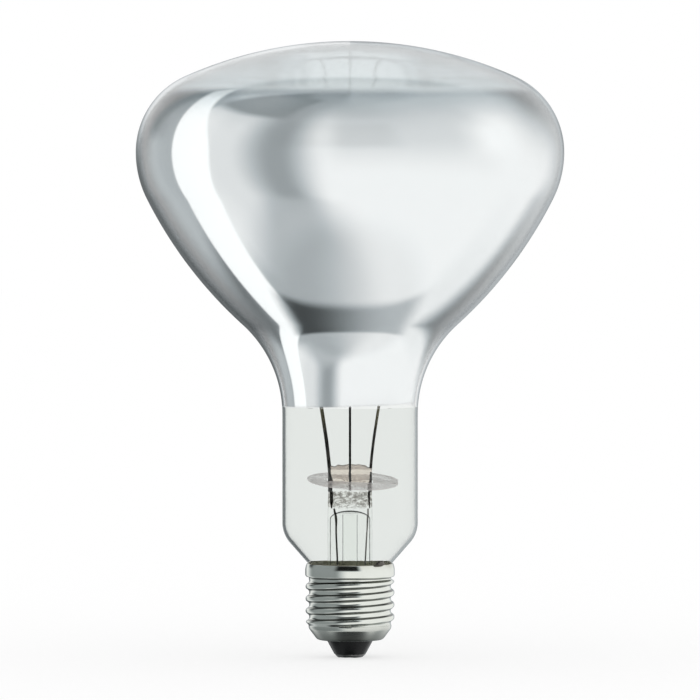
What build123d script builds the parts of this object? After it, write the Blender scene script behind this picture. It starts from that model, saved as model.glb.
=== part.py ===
from build123d import *
from math import atan2, ceil, cos, degrees, hypot, radians, sin, sqrt, tan
import os

# Reflector bulb with a screw cap, in millimetres. Z is the axis of the lamp, with the cap at the bottom.
# The origin is the middle of the flat end of the centre contact. X runs along the wide side of the press.

# Glass bulb, heights above the contact
overall_length = 182.9
bulb_diameter = 127.0
crown_height = 32.9  # of the dome above the widest part
crown_edge_arc = 24.6  # rounding above the widest part
bowl_edge_arc = 31.0  # rounding below the widest part
bowl_arc = 128.0  # long arc of the reflecting bowl
bowl_height = 77.8  # from the top of the straight neck to the widest part
flare_arc = 36.0  # hollow arc from the neck to the bowl
neck_diameter = 40.2
neck_foot_arc = 9.0  # rounding at the foot of the neck
taper_angle = 41.2  # of the neck's foot, measured from the axis
throat_arc = 3.0  # hollow arc where the taper goes down into the cap
seal_height = 17.0  # lower end of the glass, where the stem is sealed on
glass_wall = 0.9

# Mirror film on the inside of the bowl
mirror_foot = 2.8  # lower edge above the straight neck
mirror_reach = 16.3  # upper edge above the widest part
mirror_slant = 1.6  # degrees, the lower edge drops towards -X
film_thickness = 0.15
film_clearance = 0.1  # between the glass and the film

# Screw cap, rolled from sheet
cap_height = 27.9
collar_diameter = 26.6
collar_height = 3.9
thread_diameter = 26.4
thread_root_diameter = 24.2
thread_pitch = 3.629
thread_sections = 7  # in one turn
crest_height = 12.0  # of a crest on the +X side
shell_wall = 0.3
band_diameter = 23.9  # plain band under the thread
band_bottom = 8.7
band_height = 0.9
run_out_width = 2.4  # how far the cone that ends the thread opens
run_out_height = 2.6
end_diameter = 19.4  # where the rounded end meets its flat
end_height = 5.2
band_rounding = 1.2
end_rounding = 1.8

# Insulator, contact and cement at the cap
mouth_diameter = 13.9  # opening in the end of the cap
lead_hole_diameter = 2.6
contact_diameter = 9.3
contact_height = 0.95
contact_chamfer = 0.8
solder_height = 1.6
solder_dip = 0.15  # the solder ends this far inside the contact face
cement_proud = 0.3  # cement above the rim
bead_diameter = 3.2  # solder bead on the rim
bead_height = 1.5
bead_angle = -48.0  # degrees round from +X

# Stem
stem_diameter = 13.2
stem_wall = 0.8
press_top = 57.6
press_height = 13.4
press_thickness = 4.4
press_crown = 1.6  # rise of the press's round top
press_slope = 3.8  # height over which the tube goes flat
press_edge = 0.7  # rounding of the top edges
bore_cover = 0.6  # glass between the tube's bore and the slope
exhaust_diameter = 4.4
exhaust_bore = 2.8
exhaust_tip = 15.0
exhaust_tip_rounding = 2.0
vent_width = 3.6  # oval vent in the front of the press
vent_height = 2.3
vent_rise = 2.3  # middle of the vent above the bore

# Wires
outer_lead_diameter = 0.44
seal_wire_diameter = 0.6
inner_lead_diameter = 0.9
support_diameter = 0.7
wire_clearance = 0.08
outer_lead_embed = 1.0  # in the press
inner_lead_embed = 5.6
support_embed = 8.0
outer_lead_gather = 8.6  # distance between the outer leads at the rim
outer_lead_stub = 0.6  # straight run below the press
outer_lead_bend = 1.0
slow_bend = 10.0  # where the outer leads lean together
tight_bend = 0.5
kink_width = 1.3  # kink in the left outer lead
kink_height = 4.2
axis_turn = 2.0  # the left outer lead meets the axis this far above the insulator
axis_lean = 2.6
loop_drop = 2.4  # the right outer lead turns this far below the stem
rim_step = 1.2  # it steps outwards this far above the cap's shoulder
rim_step_height = 1.4
inner_lead_stub = 1.0  # straight run above the press
inner_lead_bend = 36.0

# Filament and what holds it
filament_drop = 46.0  # below the widest part
filament_span = 29.0  # distance between its legs
coil_diameter = 1.8
tip_bend = 1.5
tip_grip = 2.2  # length of a lead inside the coil
hook_clearance = 0.15
lean_start = 18.0  # the centre support leans back from here below the filament
lean_end = 6.0
lean_bend = 6.0

# Mica heat shield
shield_diameter = 27.8
shield_thickness = 0.25
shield_drop = 5.1  # below the top of the press
shield_offset = 1.0  # its edge is off the axis by this much
shield_lean = 8.0  # degrees, towards -Y
shield_roll = 2.4  # degrees, towards +X
shield_clearance = 0.25

# Worked out from the sizes above
widest_height = overall_length - crown_height
flare_height = widest_height - bowl_height
mirror_bottom = flare_height + mirror_foot
mirror_top = widest_height + mirror_reach
filament_height = widest_height - filament_drop
bulb_radius = bulb_diameter / 2
neck_radius = neck_diameter / 2
shell_root = thread_root_diameter / 2 - shell_wall
shoulder_height = cap_height - collar_height
collar_bore = collar_diameter / 2 - shell_wall
wire_gap = outer_lead_diameter + 2 * wire_clearance
throat_radius = shell_root - wire_gap
seat_radius = collar_bore - wire_gap  # of the glass at the rim of the cap
stem_radius = stem_diameter / 2
stem_bore = stem_radius - stem_wall
press_foot = press_top - press_height
bore_top = press_foot - bore_cover
lead_offset = stem_bore - outer_lead_diameter / 2 - wire_clearance
inner_lead_foot = press_top - inner_lead_embed
band_top = band_bottom + band_height
insulator_top = band_top
thread_foot = band_bottom + band_height / 2  # the thread starts inside the plain band
rim_radius = seat_radius + wire_gap / 2  # of the lead that comes out at the rim
tip_length = tip_bend + tip_grip + hook_clearance
hook_radius = coil_diameter / 2 + hook_clearance + support_diameter / 2

# Centres of the tangent arcs of the bulb, in the plane of radius and height
taper_slope = tan(radians(taper_angle))
foot_turn = tan(radians(taper_angle / 2))
foot_corner = cap_height + (neck_radius - seat_radius) / taper_slope
throat_corner = cap_height - (seat_radius - throat_radius) / taper_slope
throat_centre = (throat_radius + throat_arc, throat_corner - throat_arc * foot_turn)
foot_centre = (neck_radius - neck_foot_arc, foot_corner + neck_foot_arc * foot_turn)
flare_centre = (neck_radius + flare_arc, flare_height)
bowl_edge_centre = (bulb_radius - bowl_edge_arc, widest_height)
crown_edge_centre = (bulb_radius - crown_edge_arc, widest_height)


def heading(start, end):
    """Direction from one point to another, in degrees."""
    return degrees(atan2(end[1] - start[1], end[0] - start[0]))


def apex(start, end, from_start, from_end):
    """Third corner of a triangle, on the left of the side from start to end."""
    base = hypot(end[0] - start[0], end[1] - start[1])
    along = (from_start**2 - from_end**2 + base**2) / (2 * base)
    turn = radians(heading(start, end))
    aside = sqrt(from_start**2 - along**2)
    return (
        start[0] + along * cos(turn) - aside * sin(turn),
        start[1] + along * sin(turn) + aside * cos(turn),
    )


bowl_centre = apex(flare_centre, bowl_edge_centre, bowl_arc + flare_arc, bowl_arc - bowl_edge_arc)
crown_arc = (crown_edge_centre[0] ** 2 + crown_height**2 - crown_edge_arc**2) / (
    2 * (crown_height - crown_edge_arc)
)
crown_centre = (0, overall_length - crown_arc)
flare_end = heading(flare_centre, bowl_centre)
bowl_start = heading(bowl_centre, flare_centre)
bowl_end = heading(bowl_centre, bowl_edge_centre)
crown_start = heading(crown_centre, crown_edge_centre)


def bulb_form(inset):
    """The bulb as a filled body, moved inwards by inset. Every arc keeps its centre."""
    with BuildPart() as form:
        with BuildSketch(Plane.XZ):
            with BuildLine():
                throat = CenterArc(throat_centre, throat_arc + inset, 180, -taper_angle)
                foot = CenterArc(foot_centre, neck_foot_arc - inset, -taper_angle, taper_angle)
                flare = CenterArc(flare_centre, flare_arc + inset, 180, flare_end - 180)
                CenterArc(bowl_centre, bowl_arc - inset, bowl_start, bowl_end - bowl_start)
                CenterArc(bowl_edge_centre, bowl_edge_arc - inset, bowl_end, -bowl_end)
                CenterArc(crown_edge_centre, crown_edge_arc - inset, 0, crown_start)
                crown = CenterArc(crown_centre, crown_arc - inset, crown_start, 90 - crown_start)
                Line(throat @ 1, foot @ 0)
                Line(foot @ 1, flare @ 0)
                Polyline(crown @ 1, (0, seal_height), (throat_radius - inset, seal_height), throat @ 0)
            make_face()
        revolve(axis=Axis.Z)
    return form.part


bulb_outside = bulb_form(0)

with BuildPart() as glass_envelope:
    add(bulb_outside)
    add(bulb_form(glass_wall), mode=Mode.SUBTRACT)

with BuildPart() as mirror_film:
    add(bulb_form(glass_wall + film_clearance))
    add(bulb_form(glass_wall + film_clearance + film_thickness), mode=Mode.SUBTRACT)
    split(bisect_by=Plane.XY.offset(mirror_top), keep=Keep.BOTTOM)
    split(bisect_by=Plane.XY.offset(mirror_bottom).rotated((0, -mirror_slant, 0)), keep=Keep.TOP)


# Round thread: circles of one size whose middle turns round the axis as they rise
thread_radius = thread_diameter / 2
crest_offset = (thread_diameter - thread_root_diameter) / 4


def thread_form(inset, top):
    """The thread as a filled body up to top, moved inwards by inset."""
    rise = top - thread_foot
    steps = ceil(rise / thread_pitch * thread_sections)
    with BuildPart() as form:
        for height in (thread_foot + rise * step / steps for step in range(steps + 1)):
            crest_angle = 360 * (height - crest_height) / thread_pitch
            with BuildSketch(Plane.XY.offset(height)):
                with Locations(Vector(crest_offset, 0).rotate(Axis.Z, crest_angle)):
                    Circle(thread_radius - crest_offset - inset)
        loft()
    return form.part


def end_form(inset, top):
    """The rounded end of the cap as a filled body up to top, moved inwards by inset."""
    band = band_diameter / 2 - inset
    with BuildPart() as form:
        with BuildSketch(Plane.XZ):
            with BuildLine():
                side = FilletPolyline(
                    (0, end_height + inset),
                    (end_diameter / 2 - inset, end_height + inset),
                    (band, band_bottom),
                    (band, top),
                    radius=[end_rounding - inset, band_rounding - inset],
                )
                Polyline(side @ 1, (0, top), side @ 0)
            make_face()
        revolve(axis=Axis.Z)
    return form.part


def cap_form(inset, top):
    """The screw cap as a filled body up to top, moved inwards by inset."""
    band = band_diameter / 2 - inset
    shoulder = shoulder_height + inset
    with BuildPart() as form:
        add(thread_form(inset, shoulder))
        with BuildSketch(Plane.XZ):
            with BuildLine():
                Polyline(
                    (band, band_bottom),
                    (band, band_top),
                    (band + run_out_width, band_top + run_out_height),
                    (band + run_out_width, band_bottom),
                    close=True,
                )
            make_face()
        revolve(axis=Axis.Z, mode=Mode.SUBTRACT)
        add(end_form(inset, band_top))
        with BuildSketch(Plane.XY.offset(shoulder)):
            Circle(collar_diameter / 2 - inset)
        extrude(amount=top - shoulder)
    return form.part


with BuildPart() as screw_shell:
    add(cap_form(0, cap_height))
    add(cap_form(shell_wall, cap_height), mode=Mode.SUBTRACT)
    with BuildSketch(Plane.XY.offset(end_height)):
        Circle(mouth_diameter / 2)
    extrude(amount=shell_wall, mode=Mode.SUBTRACT)

with BuildPart() as insulator:
    add(end_form(shell_wall, insulator_top))
    with BuildSketch(Plane.XZ):
        with BuildLine():
            Polyline(
                (0, contact_height),
                (contact_diameter / 2, contact_height),
                (mouth_diameter / 2, end_height),
                (mouth_diameter / 2, end_height + shell_wall),
                (0, end_height + shell_wall),
                close=True,
            )
        make_face()
    revolve(axis=Axis.Z)
    with BuildSketch(Plane.XY.offset(contact_height)):
        Circle(lead_hole_diameter / 2)
    extrude(amount=insulator_top - contact_height, mode=Mode.SUBTRACT)

with BuildPart() as centre_contact:
    with BuildSketch():
        Circle(contact_diameter / 2)
        Circle(lead_hole_diameter / 2, mode=Mode.SUBTRACT)
    extrude(amount=contact_height)
    chamfer(centre_contact.faces().sort_by(Axis.Z)[0].outer_wire().edges(), contact_chamfer)


def bent_wire(points, bends, diameter):
    """Round wire along straight runs that are joined by tangent bends."""
    with BuildLine() as path:
        FilletPolyline(*points, radius=bends)
    with BuildSketch(Plane(origin=path.line @ 0, z_dir=path.line % 0)) as section:
        Circle(diameter / 2)
    sweep(section.sketch, path.line)


# The left outer lead goes down the stem with a kink, and ends in the solder of the centre contact
with BuildPart() as outer_lead_left:
    gather = -outer_lead_gather / 2
    kink_top = bore_top - outer_lead_stub
    bent_wire(
        [
            (-lead_offset, 0, bore_top + outer_lead_embed),
            (-lead_offset, 0, kink_top),
            (-lead_offset + kink_width, 0, kink_top - kink_height / 2),
            (-lead_offset + kink_width / 2, 0, kink_top - kink_height),
            (gather, 0, cap_height),
            (gather, 0, insulator_top + axis_turn + axis_lean),
            (0, 0, insulator_top + axis_turn),
            (0, 0, contact_height / 2),
        ],
        [tight_bend, tight_bend, tight_bend, slow_bend, outer_lead_bend, outer_lead_bend],
        outer_lead_diameter,
    )

# The right outer lead turns up outside the glass and comes out at the rim, under the solder bead
with BuildPart() as outer_lead_right:
    gather = outer_lead_gather / 2
    gap_radius = throat_radius + wire_gap / 2
    out = Vector(1, 0).rotate(Axis.Z, bead_angle)
    up = Vector(0, 0, 1)
    loop_height = seal_height - stem_wall - loop_drop
    step_height = shoulder_height + rim_step
    bent_wire(
        [
            (lead_offset, 0, bore_top + outer_lead_embed),
            (lead_offset, 0, bore_top - outer_lead_stub),
            (gather, 0, cap_height),
            (gather, 0, loop_height),
            out * gap_radius + up * loop_height,
            out * gap_radius + up * step_height,
            out * rim_radius + up * (step_height + rim_step_height),
            out * rim_radius + up * cap_height,
            out * (rim_radius + bead_height / 2 * taper_slope) + up * (cap_height + bead_height / 2),
        ],
        [slow_bend, slow_bend, outer_lead_bend, outer_lead_bend, tight_bend, tight_bend, tight_bend],
        outer_lead_diameter,
    )


def seal_wire(side):
    """Straight wire inside the press, from the end of the outer lead to the start of the inner lead."""
    foot = bore_top + outer_lead_embed
    with BuildSketch(Plane.XY.offset(foot)) as section:
        with Locations((side * lead_offset, 0)):
            Circle(seal_wire_diameter / 2)
    extrude(section.sketch, amount=inner_lead_foot - foot)


with BuildPart() as seal_wire_left:
    seal_wire(-1)

with BuildPart() as seal_wire_right:
    seal_wire(1)


def inner_lead(side):
    """Lead that spreads from the press to its end of the filament and turns back into the coil."""
    span = side * filament_span / 2
    bent_wire(
        [
            (side * lead_offset, 0, inner_lead_foot),
            (side * lead_offset, 0, press_top + inner_lead_stub),
            (span, 0, filament_height),
            (span, tip_length, filament_height),
        ],
        [inner_lead_bend, tip_bend],
        inner_lead_diameter,
    )


with BuildPart() as inner_lead_left:
    inner_lead(-1)

with BuildPart() as inner_lead_right:
    inner_lead(1)

# The coil is a horseshoe, shown as the tube that its turns fill
with BuildPart() as filament:
    legs = filament_span / 2
    with BuildLine(Plane.XY.offset(filament_height)) as coil_line:
        Line((-legs, tip_length - tip_grip), (-legs, tip_length))
        bow = CenterArc((0, tip_length), legs, 180, -180)
        Line(bow @ 1, (legs, tip_length - tip_grip))
    with BuildSketch(Plane(origin=coil_line.line @ 0, z_dir=(0, 1, 0))):
        Circle(coil_diameter / 2)
        Circle(inner_lead_diameter / 2 + wire_clearance, mode=Mode.SUBTRACT)
    sweep(path=coil_line.line)

# The centre support goes straight up, leans back and ends in a hook round the middle of the coil
with BuildPart() as centre_support:
    coil_back = tip_length + filament_span / 2
    hook_side = coil_back + hook_radius
    with BuildLine(Plane.YZ) as support_line:
        FilletPolyline(
            (0, press_top - support_embed),
            (0, filament_height - lean_start),
            (hook_side, filament_height - lean_end),
            (hook_side, filament_height),
            radius=lean_bend,
        )
        CenterArc((coil_back, filament_height), hook_radius, 0, 270)
    with BuildSketch(Plane(origin=support_line.line @ 0, z_dir=(0, 0, 1))):
        Circle(support_diameter / 2)
    sweep(path=support_line.line)

# Tube with a flare under the end of the glass, and a press made by squeezing its top flat
with BuildPart() as stem:
    with BuildSketch(Plane.XZ):
        with BuildLine():
            crown = ThreePointArc(
                (-stem_radius, press_top - press_crown),
                (0, press_top),
                (stem_radius, press_top - press_crown),
            )
            Polyline(crown @ 1, (stem_radius, press_foot), (-stem_radius, press_foot), crown @ 0)
        make_face()
    extrude(amount=stem_radius, both=True)
    with BuildSketch(Plane.YZ):
        with BuildLine():
            half = press_thickness / 2
            Polyline(
                (-stem_radius, press_foot),
                (-half, press_foot + press_slope),
                (-half, press_top),
                (half, press_top),
                (half, press_foot + press_slope),
                (stem_radius, press_foot),
                close=True,
            )
        make_face()
    extrude(amount=stem_radius, both=True, mode=Mode.INTERSECT)
    with BuildSketch(Plane.XY.offset(press_foot)):
        Circle(stem_radius)
    extrude(amount=press_height, mode=Mode.INTERSECT)
    fillet(stem.faces().sort_by(Axis.Z)[-1].edges(), press_edge)
    with BuildSketch(Plane.XZ):
        with BuildLine():
            flare_bend = throat_radius - glass_wall - stem_radius
            flare_top = (stem_radius + flare_bend, seal_height + flare_bend)
            outer_bend = CenterArc(flare_top, flare_bend, 180, 90)
            inner_bend = CenterArc(flare_top, flare_bend + stem_wall, 180, 90)
            Polyline(
                outer_bend @ 1,
                (throat_radius, seal_height),
                (throat_radius, seal_height - stem_wall),
                inner_bend @ 1,
            )
            Polyline(
                inner_bend @ 0,
                (stem_bore, bore_top),
                (0, bore_top),
                (0, press_foot),
                (stem_radius, press_foot),
                outer_bend @ 0,
            )
        make_face()
    revolve(axis=Axis.Z)
    with BuildSketch(Plane.XY.offset(bore_top)):
        Circle(exhaust_bore / 2)
    extrude(amount=vent_rise, mode=Mode.SUBTRACT)
    with BuildSketch(Plane.XZ):
        with Locations((0, bore_top + vent_rise)):
            Ellipse(vent_width / 2, vent_height / 2)
    extrude(amount=stem_radius, mode=Mode.SUBTRACT)
    for wire in (
        outer_lead_left,
        outer_lead_right,
        seal_wire_left,
        seal_wire_right,
        inner_lead_left,
        inner_lead_right,
        centre_support,
    ):
        add(wire.part, mode=Mode.SUBTRACT)

with BuildPart() as exhaust_tube:
    with BuildSketch(Plane.XZ):
        with BuildLine():
            side = FilletPolyline(
                (0, exhaust_tip),
                (exhaust_diameter / 2, exhaust_tip),
                (exhaust_diameter / 2, bore_top),
                radius=exhaust_tip_rounding,
            )
            Polyline(
                side @ 1,
                (exhaust_bore / 2, bore_top),
                (exhaust_bore / 2, exhaust_tip + exhaust_tip_rounding),
                (0, exhaust_tip + exhaust_tip_rounding),
                side @ 0,
            )
        make_face()
    revolve(axis=Axis.Z)

with BuildPart() as heat_shield:
    shield_plane = Plane.XY.offset(press_top - shield_drop).rotated((shield_lean, shield_roll, 0))
    with BuildSketch(shield_plane):
        with Locations((shield_offset, 0)):
            Circle(shield_diameter / 2)
        Rectangle(
            stem_diameter + 2 * shield_clearance,
            press_thickness / cos(radians(shield_lean)) + 2 * shield_clearance,
            mode=Mode.SUBTRACT,
        )
    extrude(amount=shield_thickness / 2, both=True)

with BuildPart() as cap_cement:
    with BuildSketch(Plane.XY.offset(shoulder_height + shell_wall)):
        Circle(collar_bore)
    extrude(amount=collar_height - shell_wall + cement_proud)
    add(bulb_outside, mode=Mode.SUBTRACT)
    add(outer_lead_right.part, mode=Mode.SUBTRACT)

# A drop of solder that stands on the rim over the end of the right outer lead
with BuildPart() as side_solder:
    bead_out = Vector(1, 0).rotate(Axis.Z, bead_angle)
    bead_foot = bead_out * rim_radius + Vector(0, 0, cap_height)
    with BuildSketch(Plane(origin=bead_foot, x_dir=bead_out, z_dir=bead_out.rotate(Axis.Z, -90))):
        with BuildLine():
            dome = EllipticalCenterArc((0, 0), bead_diameter / 2, bead_height, arc_size=90)
            Polyline(dome @ 1, (0, 0), dome @ 0)
        make_face()
    revolve(axis=Axis(bead_foot, (0, 0, 1)))
    for neighbour in (bulb_outside, cap_cement.part, outer_lead_right.part):
        add(neighbour, mode=Mode.SUBTRACT)

with BuildPart() as contact_solder:
    with BuildSketch(Plane.XY.offset(solder_dip)):
        Circle(lead_hole_diameter / 2)
    extrude(amount=solder_height)
    add(outer_lead_left.part, mode=Mode.SUBTRACT)

pieces = {
    "glass_envelope": glass_envelope,
    "mirror_film": mirror_film,
    "screw_shell": screw_shell,
    "insulator": insulator,
    "centre_contact": centre_contact,
    "contact_solder": contact_solder,
    "side_solder": side_solder,
    "cap_cement": cap_cement,
    "stem": stem,
    "exhaust_tube": exhaust_tube,
    "heat_shield": heat_shield,
    "outer_lead_left": outer_lead_left,
    "outer_lead_right": outer_lead_right,
    "seal_wire_left": seal_wire_left,
    "seal_wire_right": seal_wire_right,
    "inner_lead_left": inner_lead_left,
    "inner_lead_right": inner_lead_right,
    "centre_support": centre_support,
    "filament": filament,
}
os.makedirs("parts", exist_ok=True)
for name, piece in pieces.items():
    piece.part.label = name
    export_step(piece.part, f"parts/{name}.step")
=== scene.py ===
import bmesh
import bpy
import numpy as np
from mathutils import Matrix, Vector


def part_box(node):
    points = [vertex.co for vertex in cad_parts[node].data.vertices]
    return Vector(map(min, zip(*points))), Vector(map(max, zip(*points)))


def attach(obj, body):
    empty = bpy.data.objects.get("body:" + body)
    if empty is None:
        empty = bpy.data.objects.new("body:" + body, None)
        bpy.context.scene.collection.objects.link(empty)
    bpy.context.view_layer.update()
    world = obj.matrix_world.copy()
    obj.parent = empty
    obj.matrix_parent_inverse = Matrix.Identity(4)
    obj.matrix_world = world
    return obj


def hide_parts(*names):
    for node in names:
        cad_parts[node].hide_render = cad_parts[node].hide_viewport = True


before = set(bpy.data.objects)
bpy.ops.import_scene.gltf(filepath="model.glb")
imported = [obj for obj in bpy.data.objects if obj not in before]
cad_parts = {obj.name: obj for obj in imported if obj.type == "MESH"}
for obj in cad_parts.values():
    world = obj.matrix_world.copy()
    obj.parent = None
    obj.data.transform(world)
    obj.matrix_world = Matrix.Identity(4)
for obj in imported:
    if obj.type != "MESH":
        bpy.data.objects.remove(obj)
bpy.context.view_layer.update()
mm = 0.001
mergeReach = 1e-7  # points closer than this, in metres, become one
rng = np.random.default_rng(7)
print("frame loaded:", len(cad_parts), "nodes")


# ready-made nodes: arithmetic on a Flow adds Math nodes, anything else comes from Finish.add
class Flow:
    def __init__(self, finish, socket):
        self.finish = finish
        self.socket = socket

    def math(self, operation, *others):
        values = dict(enumerate((self,) + others))
        return self.finish.add("ShaderNodeMath", {"operation": operation}, values)

    def flipped(self, operation, other):
        return self.finish.add("ShaderNodeMath", {"operation": operation}, {0: other, 1: self})

    def __add__(self, other):
        return self.math("ADD", other)

    def __radd__(self, other):
        return self.flipped("ADD", other)

    def __sub__(self, other):
        return self.math("SUBTRACT", other)

    def __rsub__(self, other):
        return self.flipped("SUBTRACT", other)

    def __mul__(self, other):
        return self.math("MULTIPLY", other)

    def __truediv__(self, other):
        return self.math("DIVIDE", other)

    def __pow__(self, other):
        return self.math("POWER", other)

    def step(self, low, high):  # 0 below low, 1 above high, smooth between
        settings = {"interpolation_type": "SMOOTHSTEP"}
        inputs = {"Value": self, "From Min": low, "From Max": high}
        return self.finish.add("ShaderNodeMapRange", settings, inputs)

    def clip(self):
        return self.finish.add("ShaderNodeClamp", {}, {"Value": self})


class Finish:
    def __init__(self, owner):
        owner.use_nodes = True
        self.tree = owner.node_tree
        self.tree.nodes.clear()

    def add(self, kind, settings, inputs, output=0):
        node = self.tree.nodes.new(kind)
        for key, value in settings.items():
            if key == "stops":
                ramp = node.color_ramp
                while len(ramp.elements) < len(value):
                    ramp.elements.new(0.5)
                for element, (place, colour) in zip(ramp.elements, value):
                    element.position = place
                    element.color = (*colour, 1)
            else:
                setattr(node, key, value)
        for key, value in inputs.items():
            if isinstance(value, Flow):
                self.tree.links.new(value.socket, node.inputs[key])
            else:
                node.inputs[key].default_value = value
        return Flow(self, node.outputs[output]) if node.outputs else None

    def place(self):  # Object coordinates
        return self.add("ShaderNodeTexCoord", {}, {}, "Object")

    def axes(self, vector):
        node = self.add("ShaderNodeSeparateXYZ", {}, {"Vector": vector}).socket.node
        return [Flow(self, socket) for socket in node.outputs]

    def noise(self, vector, scale, detail=3.0, roughness=0.5):
        inputs = {"Vector": vector, "Scale": scale, "Detail": detail, "Roughness": roughness}
        return self.add("ShaderNodeTexNoise", {}, inputs, "Fac")

    def stretch(self, vector, scale):
        return self.add("ShaderNodeMapping", {}, {"Vector": vector, "Scale": scale})

    def ramp(self, value, stops):
        return self.add("ShaderNodeValToRGB", {"stops": stops}, {"Fac": value}, "Color")

    def blend(self, factor, first, second):  # sockets by index, as their names repeat
        first, second = [c if isinstance(c, Flow) else (*c, 1) for c in (first, second)]
        return self.add("ShaderNodeMix", {"data_type": "RGBA"}, {0: factor, 6: first, 7: second}, 2)

    def bump(self, height, strength, distance):
        return self.add("ShaderNodeBump", {}, {"Height": height, "Strength": strength, "Distance": distance})

    def surface(self, inputs):
        shader = self.add("ShaderNodeBsdfPrincipled", {}, inputs)
        self.add("ShaderNodeOutputMaterial", {}, {"Surface": shader})


def newFinish(name):
    look = bpy.data.materials.new(name)
    return look, Finish(look)


# corners of the quads between the rows of a grid that is closed around, and with wrap also from last row to first
def gridQuads(rows, cols, wrap=False):
    index = np.arange(rows * cols).reshape(rows, cols)
    upper = np.roll(index, -1, 0) if wrap else index[1:]
    lower = index if wrap else index[:-1]
    return np.stack([lower, np.roll(lower, -1, 1), np.roll(upper, -1, 1), upper], -1).reshape(-1, 4)


# a piece from rows of points in mm; rows that shrink to one point are merged into a pole
def gridPiece(name, grid, look, nodes, wrap=False, sharp=40, below=None):
    quads = gridQuads(*grid.shape[:2], wrap)
    mesh = bpy.data.meshes.new(name)
    mesh.vertices.add(grid.size // 3)
    mesh.vertices.foreach_set("co", (grid * mm).astype(np.float32).ravel())
    mesh.loops.add(quads.size)
    mesh.loops.foreach_set("vertex_index", quads.ravel().astype(np.int32))
    mesh.polygons.add(len(quads))
    mesh.polygons.foreach_set("loop_start", np.arange(0, quads.size, 4, dtype=np.int32))
    mesh.update(calc_edges=True)
    work = bmesh.new()
    work.from_mesh(mesh)
    bmesh.ops.remove_doubles(work, verts=work.verts, dist=mergeReach)
    work.to_mesh(mesh)
    work.free()
    mesh.polygons.foreach_set("use_smooth", np.ones(len(mesh.polygons), bool))
    mesh.set_sharp_from_angle(angle=np.radians(sharp))
    mesh.materials.append(look)
    if below:  # a height in mm, and the look of the faces under it
        height, lowLook = below
        mesh.materials.append(lowLook)
        centres = np.zeros(3 * len(mesh.polygons))
        mesh.polygons.foreach_get("center", centres)
        mesh.polygons.foreach_set("material_index", (centres[2::3] < height * mm).astype(np.int32))
    piece = bpy.data.objects.new(name, mesh)
    bpy.context.scene.collection.objects.link(piece)
    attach(piece, "root")
    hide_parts(*nodes)
    print("piece:", name, len(mesh.polygons), "faces")


def around(count):
    return np.arange(count) * 2 * np.pi / count


# a profile of radius and height turned about the axis; radius and height may change with the angle
def turned(radius, height, angle):
    radius, height = np.broadcast_arrays(*[np.asarray(a, float) for a in (radius, height)])
    if radius.ndim == 1:
        radius, height = radius[:, None], height[:, None]
    radius, height, angle = np.broadcast_arrays(radius, height, angle)
    return np.stack([radius * np.cos(angle), radius * np.sin(angle), height], -1)


# a circle's points from one angle to another, in degrees
def arc(centre, radius, start, end, count):
    turn = np.radians(np.linspace(start, end, count))
    return np.stack([centre[0] + radius * np.cos(turn), centre[1] + radius * np.sin(turn)], -1)


def heading(start, end):
    return np.degrees(np.arctan2(end[1] - start[1], end[0] - start[0]))


# polyline through corners, each corner replaced by short arcs: a quadratic curve between the cut-back points
def softCorners(corners, cuts, count=6):
    corners = np.asarray(corners, float)
    share = np.linspace(0, 1, count)[:, None]
    parts = [corners[:1]]
    for before, corner, after, cut in zip(corners, corners[1:], corners[2:], cuts):
        start = corner + (before - corner) / np.linalg.norm(before - corner) * cut
        end = corner + (after - corner) / np.linalg.norm(after - corner) * cut
        parts.append(start * (1 - share) ** 2 + 2 * corner * share * (1 - share) + end * share**2)
    return np.concatenate(parts + [corners[-1:]])


def smooth(value, low, high):
    share = np.clip((value - low) / (high - low), 0, 1)
    return share * share * (3 - 2 * share)


# a line of radius and height turned about the axis
def turnedLine(line, angle):
    return turned(line[:, 0], line[:, 1], angle)


# sum of sines: each size times the sine of a count of angles plus a start
def waves(angle, parts):
    return sum(size * np.sin(count * angle + start) for size, count, start in parts)


# round wire: a ring of cosine and sine times two directions across the line, closed by the line's end points
def wireGrid(path, first, second, radius, sides):
    ring = around(sides)[None, :, None]
    grid = path[:, None] + radius * (np.cos(ring) * first[:, None] + np.sin(ring) * second[:, None])
    ends = [np.repeat(path[i][None, None], sides, 1) for i in (0, -1)]
    return np.concatenate([ends[0], grid, ends[1]])


def inMetres(span):
    return [value * mm for value in span]


# glass bulb: the same tangent arcs as the solid, in mm
glassLow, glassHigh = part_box("glass_envelope")
bulb = dict(
    radius=glassHigh.x / mm,
    top=glassHigh.z / mm,
    seal=glassLow.z / mm,
    widest=150.0,
    crownEdgeArc=24.6,
    bowlEdgeArc=31.0,
    bowlArc=128.0,
    flareArc=36.0,
    flareHeight=72.2,
    neckRadius=20.1,
    footArc=9.0,
    taper=41.2,
    throatArc=3.0,
    throatRadius=11.2,
    seatRadius=12.4,
    rim=27.9,
    wall=0.9,
    neckTop=75.0,
    # the dome's colour is painted shade: a darker tint for the mirror seen through the clear crown
    domeShadeHeights=(160.0, 169.0),  # heights between which the glass takes the dome's colour
    counts=(8, 14, 26, 44, 34, 34, 36),  # points on the arcs, from the throat to the crown
    around=192,
)


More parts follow.
